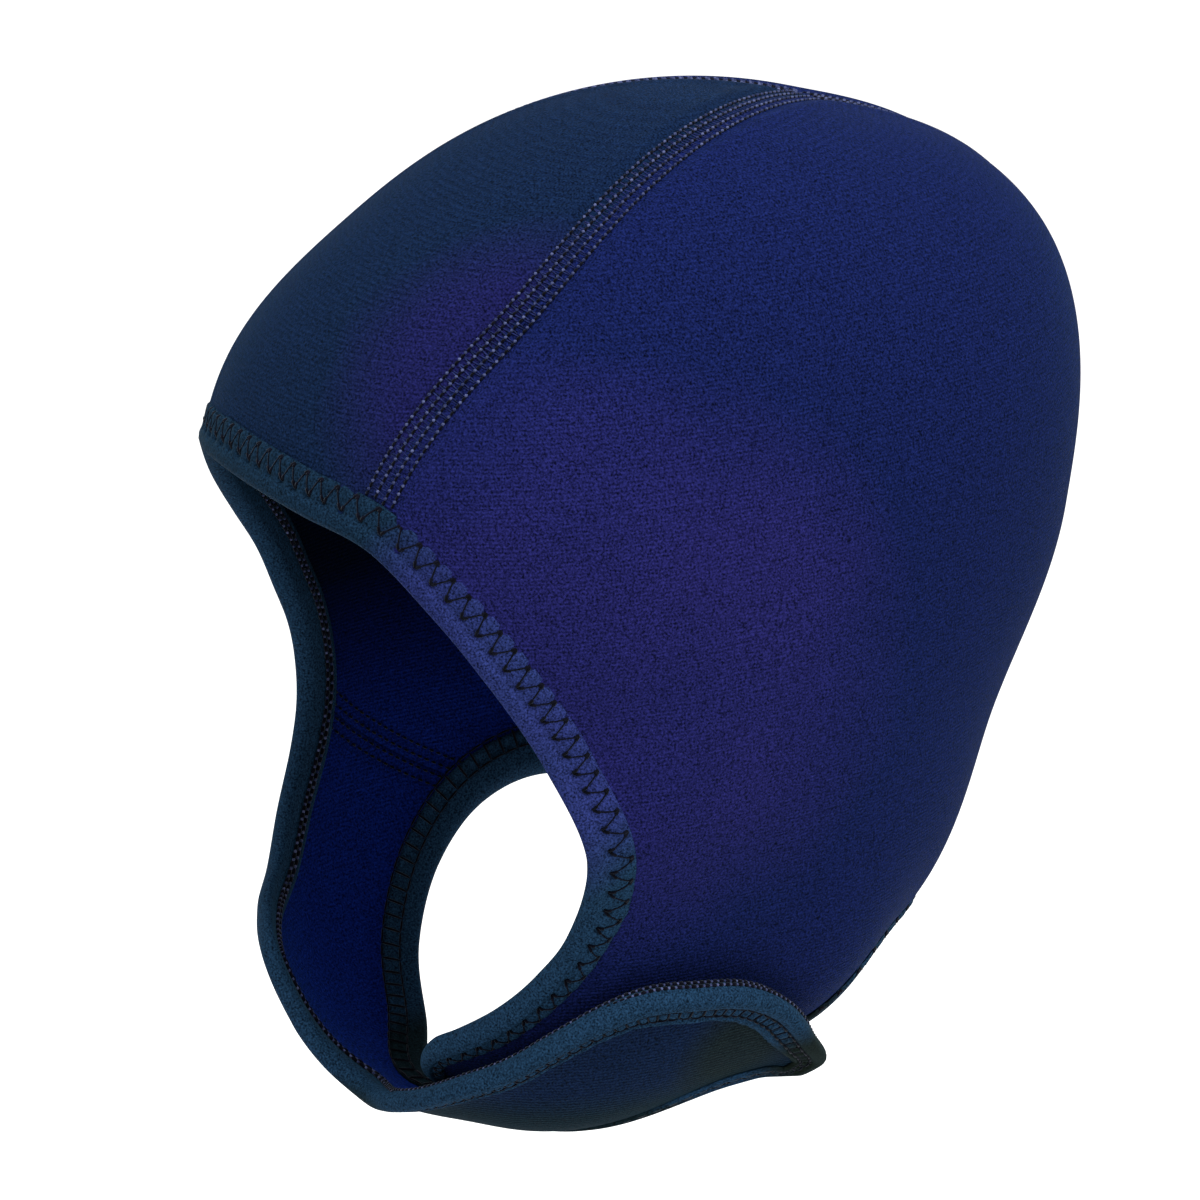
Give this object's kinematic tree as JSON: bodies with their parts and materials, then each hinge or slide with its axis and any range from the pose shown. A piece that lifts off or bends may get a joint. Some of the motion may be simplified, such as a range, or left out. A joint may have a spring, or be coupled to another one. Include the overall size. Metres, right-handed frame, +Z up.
{
  "type": "neoprene surf cap",
  "caption": "Stretch neoprene cap that covers crown, ears and nape, with a bound face opening and a chin strap that closes under the left ear.",
  "frame": {"origin": "where the top of the head meets the inside of the cap, at the mount head", "axes": "+Z up through the crown, the face opening looks toward -Y, the wearer's left is +X"},
  "size_m": [0.153, 0.2056, 0.2302],
  "materials": {
    "crown_strip": "matt knitted jersey on neoprene foam",
    "left_side_panel": "matt knitted jersey on neoprene foam",
    "right_side_panel": "matt knitted jersey on neoprene foam",
    "chin_strap": "matt knitted jersey on neoprene foam",
    "fastening_patch": "matt hook and loop",
    "edge_binding": "matt stretch tape"
  },
  "bodies": {
    "root": {"crown_strip": "crown_strip", "left_side_panel": "left_side_panel", "right_side_panel": "right_side_panel", "chin_strap": "chin_strap", "fastening_patch": "fastening_patch", "edge_binding": "edge_binding"}
  },
  "joints": []
}
